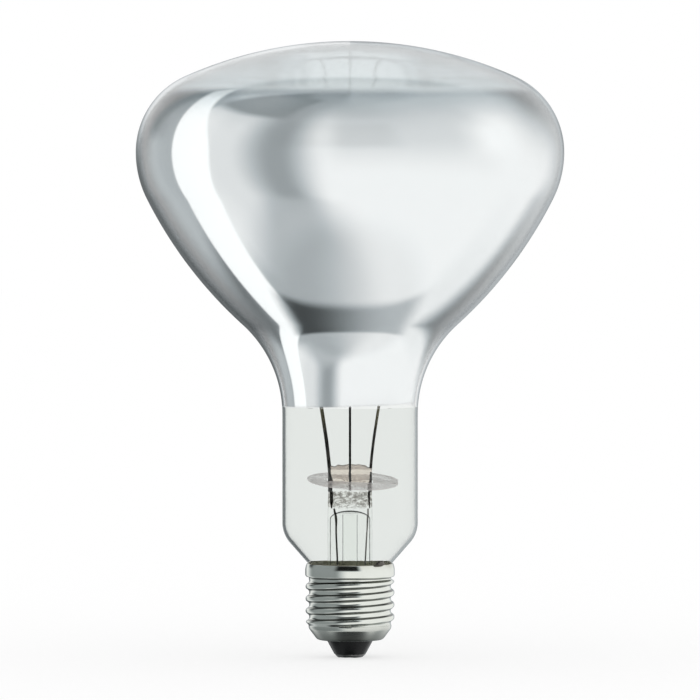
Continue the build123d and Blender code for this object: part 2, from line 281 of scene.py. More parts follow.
# radius and height of the bulb's wall from the seal up to the crown, moved inwards by inset
def bulbLine(inset, fine=1):
    b = bulb
    slope = np.tan(np.radians(b["taper"]))
    turn = np.tan(np.radians(b["taper"] / 2))
    footCorner = b["rim"] + (b["neckRadius"] - b["seatRadius"]) / slope
    throatCorner = b["rim"] - (b["seatRadius"] - b["throatRadius"]) / slope
    throat = (b["throatRadius"] + b["throatArc"], throatCorner - b["throatArc"] * turn)
    foot = (b["neckRadius"] - b["footArc"], footCorner + b["footArc"] * turn)
    flare = (b["neckRadius"] + b["flareArc"], b["flareHeight"])
    edge = (b["radius"] - b["bowlEdgeArc"], b["widest"])
    crownEdge = (b["radius"] - b["crownEdgeArc"], b["widest"])
    # the bowl's centre is the third corner of a triangle on the flare's and the edge's centres
    far, near = b["bowlArc"] + b["flareArc"], b["bowlArc"] - b["bowlEdgeArc"]
    base = np.hypot(edge[0] - flare[0], edge[1] - flare[1])
    along = (far**2 - near**2 + base**2) / (2 * base)
    aside = np.sqrt(far**2 - along**2)
    lean = np.radians(heading(flare, edge))
    bowl = (
        flare[0] + along * np.cos(lean) - aside * np.sin(lean),
        flare[1] + along * np.sin(lean) + aside * np.cos(lean),
    )
    rise = b["top"] - b["widest"]
    crownArc = (crownEdge[0] ** 2 + rise**2 - b["crownEdgeArc"] ** 2) / (2 * (rise - b["crownEdgeArc"]))
    crown = (0, b["top"] - crownArc)
    bowlEnd, crownStart = heading(bowl, edge), heading(crown, crownEdge)
    counts = [count * fine for count in b["counts"]]
    runs = [
        np.array([[b["throatRadius"] - inset, b["seal"]]]),
        arc(throat, b["throatArc"] + inset, 180, 180 - b["taper"], counts[0]),
        arc(foot, b["footArc"] - inset, -b["taper"], 0, counts[1]),
        arc(flare, b["flareArc"] + inset, 180, heading(flare, bowl), counts[2]),
        arc(bowl, b["bowlArc"] - inset, heading(bowl, flare), bowlEnd, counts[3]),
        arc(edge, b["bowlEdgeArc"] - inset, bowlEnd, 0, counts[4]),
        arc(crownEdge, b["crownEdgeArc"] - inset, 0, crownStart, counts[5]),
        arc(crown, crownArc - inset, crownStart, 90, counts[6]),
    ]
    line = np.concatenate(runs)
    line[-1, 0] = 0
    # a point that repeats the one before it is left out
    moved = np.abs(np.diff(line, axis=0)).sum(1) > 1e-9
    return line[np.concatenate([[True], moved])]


def makeBulbGlass():
    look, f = newFinish("bulbGlass")
    place = f.place()
    z = f.axes(place)[2]
    cloud = f.noise(place, 22.0, 2.0)
    ripple = f.noise(f.stretch(place, (1, 1, 0.45)), 60.0, 1.0)
    # painted shade: the dome's glass is tinted darker and a little greener, standing in for the mirrored inside
    # seen through it
    clear = f.blend(cloud, (0.985, 0.99, 0.988), (0.975, 0.985, 0.98))
    dome = f.blend(cloud, (0.872, 0.905, 0.912), (0.858, 0.895, 0.904))
    f.surface({
        "Base Color": f.blend(z.step(*inMetres(bulb["domeShadeHeights"])), clear, dome),
        "Roughness": cloud * 0.012,
        "IOR": 1.5,
        "Transmission Weight": 1.0,
        "Normal": f.bump(ripple, 0.05, 0.0004),
    })
    return look


# glass that is seen through: its low IOR keeps the edges thin
def makeThinGlass(name, pale, dark, bend):
    look, f = newFinish(name)
    cloud = f.noise(f.place(), 90.0, 2.0)
    f.surface({
        "Base Color": f.blend(cloud, pale, dark),
        "Roughness": cloud * 0.012,
        "IOR": bend,
        "Transmission Weight": 1.0,
        "Normal": f.bump(cloud, 0.03, 0.0004),
    })
    return look


inner, outer = bulbLine(bulb["wall"]), bulbLine(0)
bulbGrid = turnedLine(np.concatenate([inner[::-1], outer]), around(bulb["around"]))
bulbGlass = makeBulbGlass()
neckGlass = makeThinGlass("neckGlass", (0.885, 0.90, 0.888), (0.873, 0.89, 0.876), 1.07)
gridPiece(
    "bulb_glass", bulbGrid, bulbGlass, ["glass_envelope"],
    below=(bulb["neckTop"], neckGlass),
)

# mirror film on the inside of the bowl; its lower edge is a slanted cut
film = dict(
    bottom=75.0,
    top=169.5,
    slant=1.6,
    gap=0.1,
    thickness=0.15,
    lowFade=(-0.1, 0.9),  # where it thins out, from the lower edge upwards
    fade=4.0,  # and from the upper edge downwards
    spare=(5.0, 3.0),  # how far the wall's line is taken beyond both edges
    eased=0.35,  # share of the rows' spacing that closes up towards the edges
    fine=12,
    rows=150,
    around=192,
)


def makeFilm():
    look, f = newFinish("mirrorFilm")
    place = f.place()
    x, _, z = f.axes(place)
    haze = f.noise(place, 9.0, 3.0)
    streak = f.noise(f.stretch(place, (1, 1, 0.2)), 120.0, 2.0)
    lowEdge = z - x * float(np.tan(np.radians(film["slant"]))) - film["bottom"] * mm
    highEdge = film["top"] * mm - z
    thin = lowEdge.step(*inMetres(film["lowFade"])) * highEdge.step(0.0, film["fade"] * mm)
    f.surface({
        "Base Color": f.blend(haze, (0.86, 0.875, 0.885), (0.90, 0.91, 0.915)),
        "Metallic": 1.0,
        "Roughness": 0.035 + haze * 0.03 + streak * 0.015,
        "Alpha": thin,
    })
    return look


# both faces of the sheet, from the slanted edge up; the way up is part cosine and part even
def makeFilmPiece():
    angle = around(film["around"])
    share = np.linspace(0, 1, film["rows"])[:, None]
    way = (0.5 - 0.5 * np.cos(np.pi * share)) * film["eased"] + share * (1 - film["eased"])
    low = film["bottom"] + bulb["neckRadius"] * np.tan(np.radians(film["slant"])) * np.cos(angle)
    height = low + (film["top"] - low) * way
    least, most = film["bottom"] - film["spare"][0], film["top"] + film["spare"][1]
    grids = []
    for depth in (film["gap"], film["gap"] + film["thickness"]):
        line = bulbLine(bulb["wall"] + depth, film["fine"])
        line = line[(line[:, 1] > least) & (line[:, 1] < most)]
        grids.append(turned(np.interp(height, line[:, 1], line[:, 0]), height, angle))
    grid = np.concatenate([grids[0], grids[1][::-1]])
    gridPiece("mirror_coat", grid, makeFilm(), ["mirror_film"], wrap=True)


makeFilmPiece()

# screw cap: a rounded end, a band, a helical round thread and a collar, in mm
cap = dict(
    rim=27.9, collar=13.3, lip=12.85, lipHeight=1.1, shoulder=24.0, stepDown=0.05,
    crest=13.2, root=12.1, rootLift=0.12, pitch=3.629, crestHeight=12.0, fadeOut=(1.5, 0.5),
    band=12.3, bandTop=9.6, bandBottom=8.7, runOut=0.92, endRadius=9.7, end=5.2, mouth=6.95, wall=0.3,
    endCuts=(0.9, 0.6), endPoints=9, collarCuts=(0.7, 1.05, 0.12), collarPoints=12,
    around=240, threadRows=150,
    # heights of the rough end painted darker as shade, the stained rim, the thread's two ends and the painted
    # shade line under the collar
    dullShadedEnd=(5.2, 11.5), stained=(26.2, 28.2), threadFrom=(10.0, 11.2), threadTo=(22.6, 23.4), underLine=0.15,
)


# radius of the thread: crest and root are arcs of one size that meet in a tangent
def threadRadius(angle, height, inset):
    c = cap
    depth = c["crest"] - c["root"]
    size = (c["pitch"] ** 2 / 4 + depth**2) / (4 * depth)
    phase = (height - c["crestHeight"]) / c["pitch"] - angle / (2 * np.pi)
    off = c["pitch"] * np.abs((phase + 0.5) % 1 - 0.5)
    rest = c["pitch"] / 2 - off
    split = c["pitch"] / 4 * (size - inset) / size
    high = c["crest"] - size + np.sqrt(np.maximum((size - inset) ** 2 - off**2, 0))
    low = c["root"] + size - np.sqrt(np.maximum((size + inset) ** 2 - rest**2, 0))
    radius = np.where(off < split, high, low)
    # the thread runs out in a cone over the band and goes down to its root under the collar
    limit = c["band"] - inset + np.maximum(height - c["bandTop"], 0) * c["runOut"]
    radius = np.minimum(radius, limit)
    fadeFrom, fadeTo = c["fadeOut"]
    top = smooth(height, c["shoulder"] - fadeFrom, c["shoulder"] - fadeTo)
    return radius * (1 - top) + (c["root"] + c["rootLift"] - inset) * top


# one face of the sheet metal: a turned end, the thread's rows and a turned collar, moved inwards by inset
def capSkin(inset):
    c = cap
    angle = around(c["around"])
    end = softCorners(
        [
            (c["mouth"], c["end"] + inset),
            (c["endRadius"] - inset, c["end"] + inset),
            (c["band"] - inset, c["bandBottom"]),
            (c["band"] - inset, c["bandTop"]),
        ],
        c["endCuts"], c["endPoints"],
    )
    collar = softCorners(
        [
            (c["root"] + c["rootLift"] - inset, c["shoulder"] - c["stepDown"] + inset),
            (c["collar"] - inset, c["shoulder"] + inset),
            (c["collar"] - inset, c["rim"] - c["lipHeight"]),
            (c["lip"] - inset, c["rim"]),
            (c["lip"] - c["wall"], c["rim"]),
        ],
        c["collarCuts"], c["collarPoints"],
    )
    threadTop = c["shoulder"] - 2 * c["stepDown"] + inset
    rise = np.linspace(c["bandTop"], threadTop, c["threadRows"])[1:-1, None]
    thread = turned(threadRadius(angle, rise, inset), rise, angle)
    return np.concatenate([turnedLine(end, angle), thread, turnedLine(collar, angle)])


def makePlate():
    look, f = newFinish("cappedPlate")
    place = f.place()
    x, y, z = f.axes(place)
    cloud = f.noise(place, 160.0, 4.0)
    rub = f.noise(f.stretch(place, (0.25, 0.25, 6.0)), 700.0, 2.0)
    # painted shade: the lower end is painted dark grey, standing in for the dark reflection there; it is also
    # rougher
    low = 1 - z.step(*inMetres(cap["dullShadedEnd"]))
    stain = (z.step(*inMetres(cap["stained"])) * cloud.step(0.35, 0.7)).clip()
    metal = f.blend(cloud.step(0.3, 0.75), (0.87, 0.89, 0.83), (0.79, 0.81, 0.75))
    metal = f.blend(low * 0.85, metal, (0.19, 0.20, 0.18))
    # painted shade: dark lines on the thread's flanks and in the crease under the collar stand in for shade and
    # dark reflections
    # distance along the axis from the middle of the flank, from the turn of the thread at that angle
    wobble = (cloud - 0.5) * 0.3
    turn = (z / mm - cap["crestHeight"]) / cap["pitch"] - y.math("ARCTAN2", x) * float(0.5 / np.pi)
    off = ((turn + 0.5).math("FRACT") - 0.5).math("ABSOLUTE") * cap["pitch"]
    flank = (off - cap["pitch"] / 4).math("ABSOLUTE") + wobble
    threaded = z.step(*inMetres(cap["threadFrom"])) * (1 - z.step(*inMetres(cap["threadTo"])))
    under = z / mm - cap["shoulder"] + cap["underLine"] + wobble
    under = 1 - under.math("ABSOLUTE").step(0.12, 0.32)
    threadShade = ((1 - flank.step(0.14, 0.36)) * threaded + under).clip()
    metal = f.blend(threadShade * 0.9, metal, (0.07, 0.075, 0.065))
    f.surface({
        "Base Color": f.blend(stain * 0.5, metal, (0.36, 0.33, 0.24)),
        "Metallic": 1.0,
        "Roughness": 0.055 + cloud * 0.06 + low * 0.26,
        "Normal": f.bump(rub, 0.1, 0.00004),
    })
    return look


capGrid = np.concatenate([capSkin(0), capSkin(cap["wall"])[::-1]])
gridPiece("cap_shell", capGrid, makePlate(), ["screw_shell"], wrap=True, sharp=50)

# black glass in the end of the cap, with the contact and its solder under it
tip = dict(
    contact=4.65, contactHeight=0.95, chamfer=0.8, hole=1.3, mouth=6.95, end=5.2, ledge=0.3, top=9.6, inside=11.9,
    slope=2.6, wallTop=0.7, glassCuts=(0.1, 0.25, 0.12, 0.12, 0.8, 0.3), glassPoints=5,
    ringCuts=(0.12, 0.3, 0.12), ringPoints=6, around=128,
    # between two radii the eyelet's edge is lifted and drawn in, by waves of size, count and start
    edge=(2.6, 4.6), waves=((0.09, 3, 0.7), (0.06, 7, 0.0)), lift=0.12, liftTop=0.9, pull=0.16,
    solderGap=0.02, solderRows=12, solderLow=0.05, solderBow=0.18, solderTop=1.75,
)


def makeBlackGlass():
    look, f = newFinish("blackGlass")
    place = f.place()
    pits = f.noise(place, 420.0, 3.0)
    f.surface({
        "Base Color": f.blend(pits.step(0.45, 0.8), (0.006, 0.006, 0.007), (0.016, 0.016, 0.017)),
        "Roughness": 0.16 + pits * 0.2,
        "Specular IOR Level": 0.22,
        "Normal": f.bump(pits, 0.1, 0.0002),
    })
    return look


def makeGreyMetal(name, dark, pale, grain, rough):
    look, f = newFinish(name)
    place = f.place()
    cloud = f.noise(place, grain, 4.0, 0.6)
    f.surface({
        "Base Color": f.blend(cloud.step(0.3, 0.72), dark, pale),
        "Metallic": 0.75 + cloud * 0.2,
        "Roughness": rough + cloud * 0.2,
        "Normal": f.bump(cloud, 0.35, 0.0002),
    })
    return look


def makeTip():
    t = tip
    angle = around(t["around"])
    ledge = t["end"] + t["ledge"]
    line = softCorners(
        [
            (t["hole"], t["top"]), (t["hole"], t["contactHeight"]), (t["contact"], t["contactHeight"]),
            (t["mouth"], t["end"]), (t["mouth"], ledge), (t["inside"] - t["slope"], ledge),
            (t["inside"], t["top"] - t["wallTop"]), (t["inside"], t["top"]),
        ],
        t["glassCuts"], t["glassPoints"],
    )
    gridPiece("tip_glass", turnedLine(line, angle), makeBlackGlass(), ["insulator"], wrap=True)
    # the eyelet is a pressed ring with an uneven soldered edge
    ring = softCorners(
        [
            (t["hole"], t["contactHeight"]), (t["hole"], 0.0), (t["contact"] - t["chamfer"], 0.0),
            (t["contact"], t["chamfer"]), (t["contact"], t["contactHeight"]),
        ],
        t["ringCuts"], t["ringPoints"],
    )
    wave = waves(angle, t["waves"])
    out = smooth(ring[:, 0], *t["edge"])[:, None]
    under = smooth(ring[:, 1], t["liftTop"], 0.0)[:, None]
    height = np.maximum(ring[:, 1][:, None] + out * (t["lift"] + wave) * under, 0.0)
    radius = ring[:, 0][:, None] + out * (wave - t["pull"])
    grid = turned(radius, height, angle)
    look = makeGreyMetal("contactMetal", (0.10, 0.10, 0.10), (0.27, 0.265, 0.26), 500.0, 0.38)
    gridPiece("tip_contact", grid, look, ["centre_contact"], wrap=True)
    # the solder fills the eyelet with a hollow face
    width = t["hole"] - t["solderGap"]
    drop = np.linspace(0, width, t["solderRows"])
    low = t["solderLow"] + t["solderBow"] * (drop / t["hole"]) ** 4
    line = np.concatenate([np.stack([drop, low], -1), [[width, t["solderTop"]], [0, t["solderTop"]]]])
    look = makeGreyMetal("tipSolder", (0.30, 0.30, 0.29), (0.46, 0.455, 0.44), 300.0, 0.3)
    gridPiece("tip_solder", turnedLine(line, angle), look, ["contact_solder"])


makeTip()

# cement in the collar, with a ragged upper edge
rim = dict(
    collar=12.53, rim=27.9, bottom=25.2, gap=0.02, edge=0.2, rounding=(0.04, 0.08), dip=0.05,
    proud=0.26, ragged=((3, 0.4), (8, 2.1), (13, 4.4), (29, 1.2), (41, 3.3)), around=200,
)
# drop of solder over the side lead
bead = dict(
    angle=-48.0, size=1.75, depth=0.95, height=1.45, squash=0.82, lift=0.25, lumps=(0.12, 0.08),
    heights=(0.01, 1.28), reach=12.9, lean=0.35, gap=0.03, rows=40, around=72,
)


def glassRadius(height):
    foot = outer[outer[:, 1] < bulb["flareHeight"]]
    return np.interp(height, foot[:, 1], foot[:, 0])


def makeCement():
    look, f = newFinish("capCement")
    place = f.place()
    grit = f.noise(place, 650.0, 5.0, 0.7)
    stain = f.noise(place, 120.0, 2.0)
    brown = f.blend(stain, (0.30, 0.27, 0.18), (0.22, 0.20, 0.15))
    f.surface({
        "Base Color": f.blend(grit.step(0.3, 0.75), brown, (0.50, 0.48, 0.38)),
        "Roughness": 0.6 + grit * 0.3,
        "Normal": f.bump(grit, 0.6, 0.0003),
    })
    return look


def makeRim():
    r = rim
    angle = around(r["around"])
    ragged = waves(angle, [(1 / count, count, start) for count, start in r["ragged"]])
    top = r["rim"] + r["proud"] * (0.45 + 0.55 * np.clip(ragged, -1, 1))
    inside = top - r["dip"]
    rows = [
        (glassRadius(r["bottom"]) + r["gap"], r["bottom"]),
        (r["collar"], r["bottom"]),
        (r["collar"], r["rim"] - r["edge"]),
        (r["collar"] - r["rounding"][0], top - r["rounding"][1]),
        ((r["collar"] + glassRadius(top)) / 2, top),
        (glassRadius(inside) + r["gap"], inside),
    ]
    ones = np.ones((1, r["around"]))
    grid = np.concatenate([turned(ones * radius, ones * height, angle) for radius, height in rows])
    gridPiece("rim_cement", grid, makeCement(), ["cap_cement"], wrap=True)


# a flattened ball with lumps, pushed out of the glass and up off the rim
def makeBead():
    b = bead
    turn = around(b["around"])[None, :]
    lift = np.linspace(0, np.pi, b["rows"])[:, None]
    large, small = b["lumps"]
    lump = 1 + large * np.sin(3 * turn + 1.0) * np.sin(lift) + small * np.sin(5 * lift + 2 * turn)
    tangent = b["size"] * lump * np.sin(lift) * np.cos(turn)
    outwards = b["depth"] * lump * np.sin(lift) * np.sin(turn)
    height = rim["rim"] + b["lift"] - b["height"] * b["squash"] * lump * np.cos(lift)
    height = np.clip(height, *[rim["rim"] + limit for limit in b["heights"]])
    reach = b["reach"] + b["lean"] * (height - rim["rim"]) + outwards
    reach = np.maximum(reach, glassRadius(height) + b["gap"])
    spin = np.radians(b["angle"])
    x = reach * np.cos(spin) - tangent * np.sin(spin)
    y = reach * np.sin(spin) + tangent * np.cos(spin)
    grid = np.stack(np.broadcast_arrays(x, y, height), -1)[:, ::-1]
    look = makeGreyMetal("rimSolder", (0.055, 0.05, 0.045), (0.24, 0.225, 0.20), 700.0, 0.42)
    gridPiece("rim_solder", grid, look, ["side_solder"])


makeRim()
makeBead()

# stem: a flared glass tube whose top is squeezed flat round the wires
stem = dict(
    radius=6.6, wall=0.8, flare=11.2, lip=0.9, seal=17.0, boreTop=43.6, dome=2.6, foot=44.2,
    straight=(1.0, 0.4),  # ends of the straight part, above the bend and under the press
    domePoints=16, bendPoints=12, tubeRows=14, around=160,
    # press: its shape, the jaw marks, the lumps, the oval vent and the crown
    top=57.6, half=2.2, slope=4.2, square=3.2, narrow=0.015, face=(0.2, 0.55), slopeRows=22, pressRows=46,
    jaw=0.09, jawPitch=2.6, jawFrom=(51.0, 53.0),
    lumps=90, lumpAcross=5.6, lumpHeights=(45.0, 51.2), lumpSizes=(0.16, 0.34), lumpSigns=(-1.0, 0.8),
    lumpRise=0.09, lumpFrom=(44.3, 45.4),
    ventCentre=(0.25, 46.1), ventHalf=(1.75, 1.05), ventRise=0.06, ventWidth=0.2,
    crown=1.3, crownRows=14, crownNarrow=0.10, crownDip=0.25, crownLeast=0.15, crownGap=0.02,
    # heights at which the looks change: clear tube, grey bubbles, spots, warm press
    bubbleTop=49.2, greyFrom=(44.2, 45.2), seedsFrom=(43.5, 45.5), spotsFrom=(50.3, 50.8), spotsTo=(51.8, 52.7),
    warmFrom=(50.5, 52.5),
)


def makePressGlass():
    look, f = newFinish("pressGlass")
    place = f.place()
    z = f.axes(place)[2]
    cloud = f.noise(place, 260.0, 3.0)
    seeds = f.noise(place, 900.0, 2.0)
    layer = f.noise(f.stretch(place, (0.12, 0.12, 1.0)), 900.0, 2.0)
    warm = z.step(*inMetres(stem["warmFrom"]))
    tint = f.blend(warm, (0.99, 0.992, 0.985), (0.87, 0.79, 0.72))
    spotted = z.step(*inMetres(stem["spotsFrom"])) * (1 - z.step(*inMetres(stem["spotsTo"])))
    spots = seeds.step(0.5, 0.62) * spotted
    tint = f.blend(spots, tint, (0.22, 0.19, 0.16))
    relief = seeds * z.step(*inMetres(stem["seedsFrom"])) + layer * warm
    f.surface({
        "Base Color": f.blend(cloud.step(0.4, 0.8) * warm * 0.8, tint, (0.80, 0.70, 0.62)),
        "Roughness": 0.01 + cloud * 0.03 + warm * layer * 0.12,
        "IOR": 1.54,
        "Transmission Weight": 1.0,
        "Normal": f.bump(relief, 0.5, 0.0003),
    })
    return look


# the tube is clear; where it was squeezed, small bubbles make it grey
def makeTubeGlass():
    look, f = newFinish("tubeGlass")
    place = f.place()
    z = f.axes(place)[2]
    bubbles = f.noise(place, 850.0, 3.0, 0.6)
    clear = f.blend(bubbles, (0.985, 0.99, 0.985), (0.97, 0.98, 0.97))
    grey = f.blend(bubbles.step(0.40, 0.58), (0.92, 0.92, 0.90), (0.30, 0.29, 0.27))
    f.surface({
        "Base Color": f.blend(z.step(*inMetres(stem["greyFrom"])), clear, grey),
        "Roughness": bubbles * 0.03,
        "IOR": 1.03,
        "Transmission Weight": 1.0,
        "Normal": f.bump(bubbles, 0.2, 0.0003),
    })
    return look


# tube: from the middle of the bore's end, down inside, round the flare and up outside
def stemTube(angle):
    s = stem
    bore = s["radius"] - s["wall"]
    bend = s["flare"] - s["lip"] - s["radius"]
    centre = (s["radius"] + bend, s["seal"] + bend)
    inside = arc((0, 0), 1.0, 90, 0, s["domePoints"]) * [bore, s["dome"]] + [0, s["boreTop"] - s["dome"]]
    under = arc(centre, bend + s["wall"], 180, 270, s["bendPoints"])
    lip = [[s["flare"], s["seal"] - s["wall"]], [s["flare"], s["seal"]]]
    over = arc(centre, bend, 270, 180, s["bendPoints"])
    above, beneath = s["straight"]
    height = np.linspace(centre[1] + above, s["foot"] - beneath, s["tubeRows"])
    outside = np.stack([np.full_like(height, s["radius"]), height], -1)
    return turnedLine(np.concatenate([inside, under, lip, over, outside]), angle)


# press: the round section turns into a rounded bar, with jaw marks, lumps and an oval vent
def stemPress(angle):
    s = stem
    flatFrom = s["foot"] + s["slope"]
    rise = np.concatenate([
        np.linspace(s["foot"], flatFrom, s["slopeRows"]),
        np.linspace(flatFrom, s["top"] - s["crown"], s["pressRows"])[1:],
    ])[:, None]
    flat = smooth(rise, s["foot"], flatFrom)
    power = 2 / (2 + s["square"] * flat)
    cos, sin = np.cos(angle), np.sin(angle)
    across = s["radius"] * (1 - s["narrow"] * flat)
    deep = s["radius"] * (1 - flat) + s["half"] * flat
    x = across * np.sign(cos) * np.abs(cos) ** power
    y = deep * np.sign(sin) * np.abs(sin) ** power
    face = smooth(np.abs(sin), *s["face"])
    mark = s["jaw"] * np.sin(2 * np.pi * (rise - s["top"]) / s["jawPitch"]) * smooth(rise, *s["jawFrom"])
    count = s["lumps"]
    lumps = zip(
        rng.uniform(-s["lumpAcross"], s["lumpAcross"], count), rng.uniform(*s["lumpHeights"], count),
        rng.uniform(*s["lumpSizes"], count), rng.choice(s["lumpSigns"], count),
    )
    rough = np.zeros_like(x)
    for lumpX, lumpZ, size, sign in lumps:
        rough += s["lumpRise"] * sign * np.exp(-((x - lumpX) ** 2 + (rise - lumpZ) ** 2) / size**2)
    (ventX, ventZ), (wide, tall) = s["ventCentre"], s["ventHalf"]
    ring = np.sqrt(((x - ventX) / wide) ** 2 + ((rise - ventZ) / tall) ** 2)
    vent = s["ventRise"] * np.exp(-(((ring - 1) / s["ventWidth"]) ** 2))
    relief = mark + rough * smooth(rise, *s["lumpFrom"]) + vent * (sin < 0)
    return np.stack(np.broadcast_arrays(x, y + np.sign(sin) * face * relief, rise), -1)


# the top closes in a rounded edge with an uneven crown; its last row is a line that both halves share
def stemCrown(x, y):
    s = stem
    quarter = np.linspace(0, np.pi / 2, s["crownRows"])[1:, None]
    shrink, lift = np.cos(quarter), np.sin(quarter)
    x = x * (1 - (1 - shrink) * s["crownNarrow"])
    crest = s["crown"] * (1 - (x / s["radius"]) ** 2) ** 0.5
    uneven = 0.28 * np.sin(x * 1.3 + 0.6) * np.sin(x * 0.55 + 1.9) + 0.12 * np.sin(x * 3.1)
    z = s["top"] - s["crown"] + lift * np.maximum(crest + uneven * lift - s["crownDip"], s["crownLeast"])
    return np.stack(np.broadcast_arrays(x, y * shrink, np.minimum(z, s["top"] - s["crownGap"])), -1)


def makeStem():
    angle = around(stem["around"])
    press = stemPress(angle)
    crown = stemCrown(press[-1:, :, 0], press[-1:, :, 1])
    grid = np.concatenate([stemTube(angle), press, crown])
    gridPiece(
        "stem_glass", grid, makePressGlass(), ["stem"], sharp=60,
        below=(stem["bubbleTop"], makeTubeGlass()),
    )


# exhaust tube: a thin tube with a rounded, closed lower end
pipe = dict(
    radius=2.2, bore=2.08, tip=15.0, top=43.1, topWall=0.6, tipArc=1.8, tipBore=(2.4, 1.4),
    tipPoints=10, around=64,
)


def makePipe():
    p = pipe
    boreTop = p["top"] - p["topWall"]
    boreSide, boreMiddle = [p["tip"] + rise for rise in p["tipBore"]]
    line = np.concatenate([
        [[0, boreTop], [p["bore"], boreTop], [p["bore"], boreSide], [0, boreMiddle], [0, p["tip"]]],
        arc((p["radius"] - p["tipArc"], p["tip"] + p["tipArc"]), p["tipArc"], 270, 360, p["tipPoints"]),
        [[p["radius"], p["top"]], [0, p["top"]]],
    ])
    look = makeThinGlass("pipeGlass", (0.99, 0.995, 0.99), (0.985, 0.99, 0.985), 1.06)
    gridPiece("exhaust_pipe", turnedLine(line, around(p["around"])), look, ["exhaust_tube"])


makeStem()
makePipe()

# mica disc with a slot for the press; it leans to the front and has one blunt side
mica = dict(
    radius=13.8, offset=1.0, flat=14.2, height=52.5, lean=8.0, roll=2.4, thickness=0.22, slotX=6.85, slotY=2.45,
    edgeWaves=((0.006, 5, 1), (0.004, 11, 0)), warp=((0.10, 2, 0.4),), around=180, rows=26,
)


def makeMica():
    look, f = newFinish("micaSheet")
    place = f.place()
    flake = f.noise(f.stretch(place, (1, 1, 0.3)), 170.0, 5.0, 0.65)
    vein = f.noise(f.stretch(place, (0.5, 1.6, 1)), 340.0, 3.0)
    f.surface({
        "Base Color": f.blend(flake.step(0.3, 0.75), (0.70, 0.64, 0.63), (0.84, 0.79, 0.78)),
        "Roughness": 0.25 + flake * 0.25,
        "Specular IOR Level": 0.2,
        "Alpha": (flake.step(0.25, 0.8) * 0.45 + vein.step(0.3, 0.8) * 0.2 + 0.12).clip(),
        "Normal": f.bump(vein, 0.2, 0.0002),
    })
    return look


def makeMicaPiece():
    m = mica
    angle = around(m["around"])
    edge = m["radius"] * (1 + waves(angle, m["edgeWaves"]))
    rimX = np.minimum(m["offset"] + edge * np.cos(angle), m["flat"])
    rimY = edge * np.sin(angle)
    # the slot's edge seen from the middle at the same angle as the rim's point
    aim = np.arctan2(rimY, rimX)
    wide, deep = [np.maximum(np.abs(part), 1e-6) for part in (np.cos(aim), np.sin(aim))]
    reach = np.minimum(m["slotX"] / wide, m["slotY"] / deep)
    share = np.linspace(0, 1, m["rows"])[:, None]
    x = reach * np.cos(aim) * (1 - share) + rimX * share
    y = reach * np.sin(aim) * (1 - share) + rimY * share
    lean, roll = np.tan(np.radians([m["lean"], m["roll"]]))
    base = m["height"] + y * lean - x * roll + waves(angle, m["warp"]) * share**2
    half = m["thickness"] / 2
    upper, lower = [np.stack([x, y, base + lift], -1) for lift in (half, -half)]
    grid = np.concatenate([upper[::-1], lower])
    gridPiece("mica_disc", grid, makeMica(), ["heat_shield"], wrap=True)


makeMicaPiece()

# filament: a fine wire wound on a horseshoe line between the two leads
coil = dict(
    height=104.0, span=29.0, start=1.65, bend=3.85, radius=0.76, wire=0.12, pitch=0.46, perTurn=14, sides=6,
)


def makeTungsten():
    look, f = newFinish("tungstenWire")
    place = f.place()
    cloud = f.noise(place, 800.0, 3.0)
    f.surface({
        "Base Color": f.blend(cloud, (0.20, 0.20, 0.205), (0.36, 0.36, 0.365)),
        "Metallic": 1.0,
        "Roughness": 0.35 + cloud * 0.2,
    })
    return look


# the line is two legs and a half circle; the wire turns round it once for each pitch of its length
def makeFilament():
    c = coil
    half = c["span"] / 2
    leg = c["bend"] - c["start"]
    length = 2 * leg + np.pi * half
    along = np.linspace(0, length, int(length / c["pitch"] * c["perTurn"]))
    bow = np.clip((along - leg) / half, 0, np.pi)  # angle walked round the bend
    past = np.maximum(along - leg - np.pi * half, 0)
    depth = c["bend"] + half * np.sin(bow) + np.minimum(along - leg, 0) - past
    centre = np.stack([-half * np.cos(bow), depth, np.full_like(along, c["height"])], -1)
    ahead = np.stack([np.sin(bow), np.cos(bow), np.zeros_like(bow)], -1)
    up = np.array([0, 0, 1.0])
    spin = (2 * np.pi * along / c["pitch"])[:, None]
    radial = np.cos(spin) * up + np.sin(spin) * np.cross(ahead, up)
    wire = centre + c["radius"] * radial
    forward = np.gradient(wire, axis=0)
    forward /= np.linalg.norm(forward, axis=1, keepdims=True)
    grid = wireGrid(wire, radial, np.cross(forward, radial), c["wire"], c["sides"])
    gridPiece("filament_coil", grid, makeTungsten(), ["filament"])


makeFilament()


